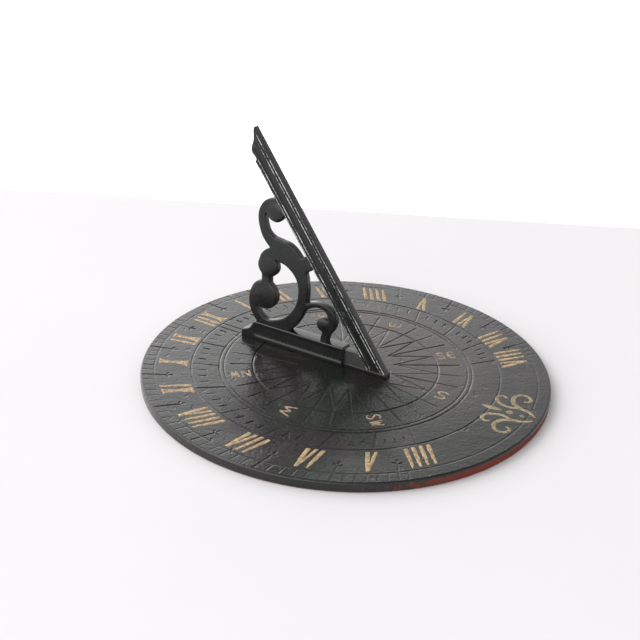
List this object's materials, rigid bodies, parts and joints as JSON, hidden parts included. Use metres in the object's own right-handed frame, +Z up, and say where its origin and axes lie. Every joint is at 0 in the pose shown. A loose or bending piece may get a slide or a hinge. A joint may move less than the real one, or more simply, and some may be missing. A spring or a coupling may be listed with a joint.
{
  "type": "garden sundial",
  "caption": "Round horizontal garden sundial: a cut and gilded dial plate with a tall scrollwork gnomon screwed on from below.",
  "frame": {"origin": "centre of the dial plate's flat underside", "axes": "+Y to the north (the noon line, the way the style leans), +X to the east, +Z up, square to the face"},
  "size_m": [0.25, 0.25, 0.1447],
  "materials": {
    "plate_paint": "uneven hand-worked semi-gloss black enamel on cast metal, red oxide primer showing at the worn rim",
    "gnomon_paint": "semi-gloss black enamel over a cast and filed surface",
    "screw_steel": "plain turned steel, slightly dulled",
    "gold_paint": "hand-brushed ochre gold paint, satin, slightly uneven",
    "pale_gold_paint": "thin hand-brushed pinkish gold paint, satin"
  },
  "bodies": {
    "root": {"dial_plate": "plate_paint", "style_bar": "gnomon_paint", "scroll_bracket": "gnomon_paint", "base_rail": "gnomon_paint", "gnomon_screws": "screw_steel", "hour_numerals": "gold_paint", "compass_letters": "pale_gold_paint", "flourish": "gold_paint"}
  },
  "joints": []
}
